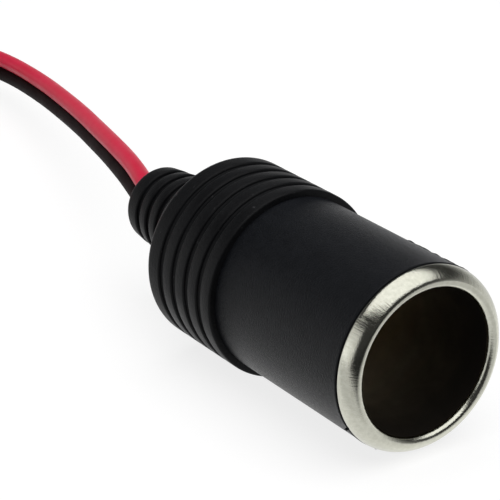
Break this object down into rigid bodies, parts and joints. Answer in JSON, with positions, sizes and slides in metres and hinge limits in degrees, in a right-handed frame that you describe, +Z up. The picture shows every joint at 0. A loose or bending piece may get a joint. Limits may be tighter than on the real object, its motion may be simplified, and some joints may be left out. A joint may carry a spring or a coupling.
{
  "type": "inline 12 volt accessory socket",
  "caption": "Round inline 12 V accessory socket with a flanged metal bore, a plastic sleeve, a ribbed rubber boot and a twin lead with bare ends.",
  "frame": {"origin": "on the axis of the bore, where the straight bore begins behind the rounded lip of the mouth", "axes": "+X along the bore and out of its mouth, +Z up, with the socket lying on its side and the lead leaving along -X"},
  "size_m": [0.2043, 0.0659, 0.0284],
  "materials": {
    "sleeve_plastic": "moulded with a fine mottled texture",
    "boot_rubber": "smooth matt",
    "nickel": "nickel plated drawn steel, a little wavy",
    "fibre": "pressed insulating fibre",
    "brass": "pressed",
    "plated_steel": "zinc plated",
    "copper_strand": "bare stranded copper",
    "solder": "satin",
    "shrink_red": "shrunk tube",
    "shrink_black": "shrunk tube",
    "core_red": "extruded soft insulation, satin",
    "core_black": "extruded soft insulation, satin",
    "tinned_copper": "tinned strands"
  },
  "bodies": {
    "root": {"housing_sleeve": "sleeve_plastic", "rear_boot": "boot_rubber", "contact_shell": "nickel", "inner_washer": "fibre", "centre_contact": "brass", "centre_rivet": "brass", "spacer_washer": "fibre", "rear_plate": "fibre", "positive_tag": "brass", "lock_washer": "plated_steel", "earth_rivet": "plated_steel", "earth_tag": "plated_steel", "positive_strand": "copper_strand", "earth_strand": "copper_strand", "positive_solder": "solder", "earth_solder": "solder", "positive_shrink_tube": "shrink_red", "earth_shrink_tube": "shrink_black", "lead_band": "plated_steel", "cord_red": "core_red", "cord_black": "core_black", "red_tip": "tinned_copper", "black_tip": "tinned_copper"}
  },
  "joints": []
}
